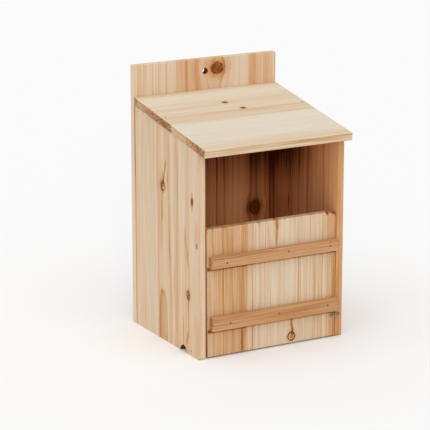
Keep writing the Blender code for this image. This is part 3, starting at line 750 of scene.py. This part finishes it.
def make_nail_tree():
    """A wire nail: flat head with a bevelled rim and a hammered dish, shank, drawn point."""
    tree, given, result = fastener_tree(
        "driven_nail", head_radius=0.0014, head_height=0.0007, shank_radius=0.0008, length=0.028,
        dish=0.00012)
    disc, spot, share, height = head_disc(tree, given, sides=24, rims=1, rings=4)
    middle = calc(tree, "SUBTRACT", 1.0, scaled(tree, share, share))
    dents = put(tree, "TexNoise", {"Vector": spot, "Scale": 1800.0}).outputs[0]
    dish = scaled(tree, given["Dish"], scaled(tree, dents, 1.2, middle))
    bevel = scaled(tree, calc(tree, "GREATER_THAN", share, 0.95), given["Head Height"])
    on_top = calc(tree, "GREATER_THAN", height, 0.0)
    drop = scaled(tree, scaled(tree, bevel, 0.45, dish), on_top)
    head = pressed(tree, given, disc, scaled(tree, drop, -1.0))
    tip_length = scaled(tree, given["Shank Radius"], 4.0)
    under_head = scaled(tree, given["Head Height"], 0.6)
    bar_length = calc(tree, "SUBTRACT", calc(tree, "SUBTRACT", given["Length"], tip_length), under_head)
    bar, tip = shaft(tree, given, 12, given["Shank Radius"], bar_length, tip_length, under_head, 0.00005)
    return set_in_place(tree, given, result, joined(tree, head, bar, tip), seed=5)


def fasten(name, tree, nodes, facing, body, sizes, finish):
    """Stand a fastener at each node's outer end, then keep the result as one plain mesh."""
    places, leans = [], []
    for node, outward in zip(nodes, facing):
        low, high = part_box(node)
        low, high, outward = Vector(low), Vector(high), Vector(outward).normalized()
        axis = max(range(3), key=lambda number: abs(outward[number]))
        square_on = abs(outward[axis]) > 0.999
        reach = (high - low)[axis] / 2 if square_on else sizes["Length"] / 2
        places.append((low + high) / 2 + outward * reach)
        leans.append(outward)
    seed_mesh = bpy.data.meshes.new(name + "_places")
    seed_mesh.from_pydata(places, [], [])
    attribute = seed_mesh.attributes.new("lean", "FLOAT_VECTOR", "POINT")
    for index, outward in enumerate(leans):
        attribute.data[index].vector = outward
    holder = bpy.data.objects.new(name + "_places", seed_mesh)
    bpy.context.scene.collection.objects.link(holder)
    modifier = holder.modifiers.new("fasteners", "NODES")
    modifier.node_group = tree
    for socket in tree.interface.items_tree:
        if socket.in_out == "INPUT" and socket.name in sizes:
            modifier[socket.identifier] = sizes[socket.name]
        if socket.in_out == "INPUT" and socket.name == "Finish":
            modifier[socket.identifier] = finish
    view_layer = bpy.context.evaluated_depsgraph_get()
    mesh = bpy.data.meshes.new_from_object(holder.evaluated_get(view_layer))
    mesh.name = name
    holder.modifiers.remove(modifier)
    bpy.data.objects.remove(holder)
    bpy.data.meshes.remove(seed_mesh)
    piece = bpy.data.objects.new(name, mesh)
    bpy.context.scene.collection.objects.link(piece)
    for polygon in mesh.polygons:
        polygon.use_smooth = False
    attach(piece, body)
    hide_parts(*nodes)


NAIL = make_nail_tree()
brad_steel = worn_metal("brad_steel", (0.24, 0.15, 0.09), (0.22, 0.11, 0.055), 0.50, 1.1, 0.9)
nail_steel = worn_metal("nail_steel", (0.42, 0.37, 0.31), (0.34, 0.22, 0.13), 0.45, 0.55, 0.8)
BRAD_NODES = [batten + "_brad_" + str(number) for batten in ("upper", "lower") for number in (1, 2, 3)]
fasten("batten_brads", NAIL, BRAD_NODES, [(0.0, -1.0, 0.0)] * 6, "door",
       {"Head Radius": 0.0012, "Head Height": 0.0005, "Shank Radius": 0.0007, "Length": 0.016,
        "Dish": 0.00015}, brad_steel)

ROOF_SLOPE = math.radians(9.65)
roof_up = (0.0, -math.sin(ROOF_SLOPE), math.cos(ROOF_SLOPE))
NAIL_NODES = ["floor_nail_left_front", "floor_nail_left_rear", "floor_nail_right_front",
              "floor_nail_right_rear", "back_nail_left_low", "back_nail_left_high",
              "back_nail_right_low", "back_nail_right_high", "roof_nail_left", "roof_nail_right"]
NAIL_FACING = [(-1.0, 0.0, 0.0)] * 2 + [(1.0, 0.0, 0.0)] * 2 + [(0.0, 1.0, 0.0)] * 4 + [roof_up] * 2
fasten("box_nails", NAIL, NAIL_NODES, NAIL_FACING, "box",
       {"Head Radius": 0.0014, "Head Height": 0.0007, "Shank Radius": 0.0008, "Length": 0.028,
        "Dish": 0.00012}, nail_steel)

# ------------------------------------------------------------------ pivot screws
# Two zinc-plated screws run in from the sides; the door swings on them. Each has a low domed
# head with a cross recess, and a rolled thread on its shank.


def make_screw_tree():
    """A pan-head screw: domed head with a cross cut in it, shank, rolled thread and point."""
    tree, given, result = fastener_tree(
        "pivot_screw", head_radius=0.003, head_height=0.0013, shank_radius=0.0015, length=0.026,
        recess_length=0.0033, recess_width=0.0008, pitch=0.0011)
    disc, _, share, height = head_disc(tree, given, sides=40, rims=2, rings=6)
    on_top = calc(tree, "GREATER_THAN", height, scaled(tree, given["Head Height"], 0.4))
    fall = scaled(tree, calc(tree, "POWER", share, 3.0), given["Head Height"])
    domed = pressed(tree, given, disc, scaled(tree, scaled(tree, fall, on_top), -0.75))
    bars = []
    for first, second in (("Recess Length", "Recess Width"), ("Recess Width", "Recess Length")):
        size = put(tree, "CombineXYZ", {"X": given[first], "Y": given[second], "Z": given["Head Height"]})
        bars.append(put(tree, "GeometryNodeMeshCube", {"Size": size.outputs[0]}).outputs[0])
    cut = put(tree, "GeometryNodeMeshBoolean",
              {"Mesh 1": domed, "Mesh 2": joined(tree, *bars), "Self Intersection": True},
              operation="DIFFERENCE", solver="EXACT")
    core_length = scaled(tree, given["Length"], 0.86)
    core, tip = shaft(tree, given, 20, scaled(tree, given["Shank Radius"], 0.82), core_length,
                      scaled(tree, given["Length"], 0.09), scaled(tree, given["Head Height"], 0.9), 0.0001)
    crest = scaled(tree, given["Shank Radius"], 0.88)
    thread = put(tree, "GeometryNodeCurveSpiral",
                 {"Resolution": 16, "Rotations": calc(tree, "DIVIDE", core_length, given["Pitch"]),
                  "Start Radius": crest, "End Radius": crest, "Height": core_length})
    ridge = put(tree, "GeometryNodeCurvePrimitiveCircle",
                {"Resolution": 4, "Radius": scaled(tree, given["Shank Radius"], 0.12)})
    thread = put(tree, "GeometryNodeCurveToMesh",
                 {"Curve": thread.outputs[0], "Profile Curve": ridge.outputs[0], "Fill Caps": True})
    thread = moved(tree, thread.outputs[0], scaled(tree, core_length, -1.03))
    return set_in_place(tree, given, result, joined(tree, cut.outputs[0], core, tip, thread), seed=3)


zinc_plate = worn_metal("zinc_plate", (0.42, 0.47, 0.50), (0.26, 0.27, 0.26), 0.34, 0.35, 0.5)
fasten("pivot_screws", make_screw_tree(), ["pivot_screw_left", "pivot_screw_right"],
       [(-1.0, 0.0, 0.0), (1.0, 0.0, 0.0)], "box",
       {"Head Radius": 0.003, "Head Height": 0.0013, "Shank Radius": 0.0015, "Length": 0.0258}, zinc_plate)

# ------------------------------------------------------------------ turn latch
# A square-bent screw hook of galvanised wire in the right side's front edge. Its arm turns
# across the door's edge to hold it shut. The wire end is cropped and its thread is rolled.
HOOK_WIRE = 0.0013      # radius of the wire
HOOK_BEND = 0.0022      # radius of the bend's middle line
HOOK_POINT = 0.0042     # length of the cropped point
HOOK_CORE = 0.78        # share of the wire's radius that is left under the thread
HOOK_SIDES = 20
THREAD_PITCH = 0.0010
THREAD_START = 0.0030   # how far the thread stays back from the point's end
THREAD_STEPS = 14       # places in one turn of the thread
THREAD_TURNS = 15
FADE_STEPS = 10.0       # places over which the thread runs out at each end
hook_low, hook_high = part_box("latch_hook")
shank_x = hook_high[0] - HOOK_WIRE
arm_y = hook_low[1] + HOOK_WIRE
hook_z = (hook_low[2] + hook_high[2]) / 2


def wire_mesh(shape, path, radii, sides, up):
    """Add a closed round tube along a path to a bmesh; each path point has its own radius."""
    loops = []
    for index, (place, radius) in enumerate(zip(path, radii)):
        before = path[max(index - 1, 0)]
        after = path[min(index + 1, len(path) - 1)]
        way = (after - before).normalized()
        side = way.cross(up).normalized()
        top = side.cross(way)
        corners = [place + radius * (math.cos(math.tau * step / sides) * side
                                     + math.sin(math.tau * step / sides) * top) for step in range(sides)]
        loops.append([shape.verts.new(corner) for corner in corners])
    for first, second in zip(loops, loops[1:]):
        for step in range(sides):
            nearby = (step + 1) % sides
            shape.faces.new((first[step], first[nearby], second[nearby], second[step]))
    shape.faces.new(list(reversed(loops[0])))
    shape.faces.new(loops[-1])


hook_path, hook_radii = [], []
inner_end = hook_high[1]
point_end = inner_end - HOOK_POINT
bend_start = arm_y + HOOK_BEND
for step in range(7):
    share = step / 6
    hook_path.append(Vector((shank_x, inner_end - HOOK_POINT * share, hook_z)))
    hook_radii.append(HOOK_WIRE * (0.12 + (HOOK_CORE - 0.12) * share))
for step in range(1, 13):
    share = step / 12
    hook_path.append(Vector((shank_x, point_end + (bend_start - point_end) * share, hook_z)))
    hook_radii.append(HOOK_WIRE * (HOOK_CORE if share < 0.8 else 1.0))
for step in range(1, 10):
    angle = math.radians(10.0 * step)
    hook_path.append(Vector((shank_x - HOOK_BEND * (1.0 - math.cos(angle)),
                             bend_start - HOOK_BEND * math.sin(angle), hook_z)))
    hook_radii.append(HOOK_WIRE * (1.0 - 0.05 * math.sin(2.0 * angle)))
arm_start = shank_x - HOOK_BEND
arm_end = hook_low[0]
for share, radius in ((0.3, 1.0), (0.6, 1.0), (0.86, 1.0), (0.94, 0.97), (0.985, 0.80), (1.0, 0.55)):
    hook_path.append(Vector((arm_start + (arm_end - arm_start) * share, arm_y, hook_z)))
    hook_radii.append(HOOK_WIRE * radius)
hook_shape = bmesh.new()
wire_mesh(hook_shape, hook_path, hook_radii, HOOK_SIDES, Vector((0.0, 0.0, 1.0)))
thread_path, thread_radii = [], []
crest = HOOK_WIRE * 0.80
last_step = THREAD_TURNS * THREAD_STEPS
for step in range(last_step + 1):
    angle = math.tau * step / THREAD_STEPS
    along = inner_end - THREAD_START - THREAD_PITCH * step / THREAD_STEPS
    thread_path.append(Vector((shank_x + crest * math.cos(angle), along, hook_z + crest * math.sin(angle))))
    fade = min(1.0, step / FADE_STEPS, (last_step - step) / FADE_STEPS)
    thread_radii.append(0.00004 + 0.00020 * fade)
wire_mesh(hook_shape, thread_path, thread_radii, 4, Vector((0.0, 1.0, 0.0)))
bmesh.ops.recalc_face_normals(hook_shape, faces=hook_shape.faces)
hook_mesh = bpy.data.meshes.new("turn_latch")
hook_shape.to_mesh(hook_mesh)
hook_shape.free()
for polygon in hook_mesh.polygons:
    polygon.use_smooth = len(polygon.vertices) == 4
turn_latch = bpy.data.objects.new("turn_latch", hook_mesh)
bpy.context.scene.collection.objects.link(turn_latch)
galvanised_wire = worn_metal("galvanised_wire", (0.25, 0.34, 0.34), (0.15, 0.21, 0.21), 0.38, 0.45, 0.7)
hook_mesh.materials.append(galvanised_wire)
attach(turn_latch, "latch")
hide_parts("latch_hook")

# ------------------------------------------------------------------ studio
# The box stands on pale paper in a bright white room. The ceiling gives broad soft light from
# above, a window low at the left front gives weaker and sharper light, and the rest is even.
FLOOR_HALF = 4.0
ROOM_LIGHT = 0.58
CEILING_LIGHT = 1.26
WINDOW_LIGHT = 0.50
WHITE = (1.0, 1.0, 1.0, 1.0)
floor_mesh = bpy.data.meshes.new("studio_floor")
floor_mesh.from_pydata([(-FLOOR_HALF, -FLOOR_HALF, 0), (FLOOR_HALF, -FLOOR_HALF, 0),
                        (FLOOR_HALF, FLOOR_HALF, 0), (-FLOOR_HALF, FLOOR_HALF, 0)], [], [(0, 1, 2, 3)])
studio_floor = bpy.data.objects.new("studio_floor", floor_mesh)
bpy.context.scene.collection.objects.link(studio_floor)
paper = bpy.data.materials.new("pale_paper")
paper.use_nodes = True
for label, value in (("Base Color", (0.95, 0.95, 0.95, 1.0)), ("Roughness", 0.9),
                     ("Specular IOR Level", 0.0)):
    paper.node_tree.nodes["Principled BSDF"].inputs[label].default_value = value
floor_mesh.materials.append(paper)

world = bpy.data.worlds.new("studio")
world.use_nodes = True
bpy.context.scene.world = world
sky = world.node_tree
room = sky.nodes["Background"]
room.inputs["Color"].default_value = WHITE
room.inputs["Strength"].default_value = ROOM_LIGHT
backdrop = put(sky, "Background", {"Color": WHITE, "Strength": 1.0})
seen = put(sky, "LightPath").outputs["Is Camera Ray"]
choose = put(sky, "MixShader", {0: seen, 1: room.outputs[0], 2: backdrop.outputs[0]})
sky.links.new(choose.outputs[0], sky.nodes["World Output"].inputs["Surface"])


def wide_sun(name, direction, strength, spread):
    """Light from one side of a bright room: the same everywhere, with soft shadows."""
    light = bpy.data.lights.new(name, "SUN")
    light.energy = strength
    light.angle = math.radians(spread)
    lamp = bpy.data.objects.new(name, light)
    bpy.context.scene.collection.objects.link(lamp)
    lamp.rotation_euler = Vector(direction).to_track_quat("-Z", "Y").to_euler()


wide_sun("ceiling_light", (0.25, 0.30, -1.0), CEILING_LIGHT, 70.0)
wide_sun("window_light", (0.50, 1.0, -0.44), WINDOW_LIGHT, 16.0)

# The view is from the left front and a little above, through a long lens with no shift.
VIEW_AZIMUTH = math.radians(28.779)
VIEW_ELEVATION = math.radians(14.831)
VIEW_ROLL = math.radians(-0.054)
VIEW_PLACE = Vector((-1.2741, -2.2501, 0.8469))
VIEW_LENS = 166.99      # millimetres, on a sensor 36 wide
ahead = Vector((math.sin(VIEW_AZIMUTH) * math.cos(VIEW_ELEVATION),
                math.cos(VIEW_AZIMUTH) * math.cos(VIEW_ELEVATION), -math.sin(VIEW_ELEVATION)))
level_right = Vector((math.cos(VIEW_AZIMUTH), -math.sin(VIEW_AZIMUTH), 0.0))
level_up = level_right.cross(ahead)
right = math.cos(VIEW_ROLL) * level_right + math.sin(VIEW_ROLL) * level_up
up = math.cos(VIEW_ROLL) * level_up - math.sin(VIEW_ROLL) * level_right
lens = bpy.data.cameras.new("view")
lens.lens = VIEW_LENS
lens.sensor_width = 36.0
lens.clip_end = 50.0
camera = bpy.data.objects.new("view", lens)
bpy.context.scene.collection.objects.link(camera)
camera.matrix_world = Matrix.Translation(VIEW_PLACE) @ Matrix((right, up, -ahead)).transposed().to_4x4()
bpy.context.scene.camera = camera
bpy.context.scene.view_settings.view_transform = "Standard"
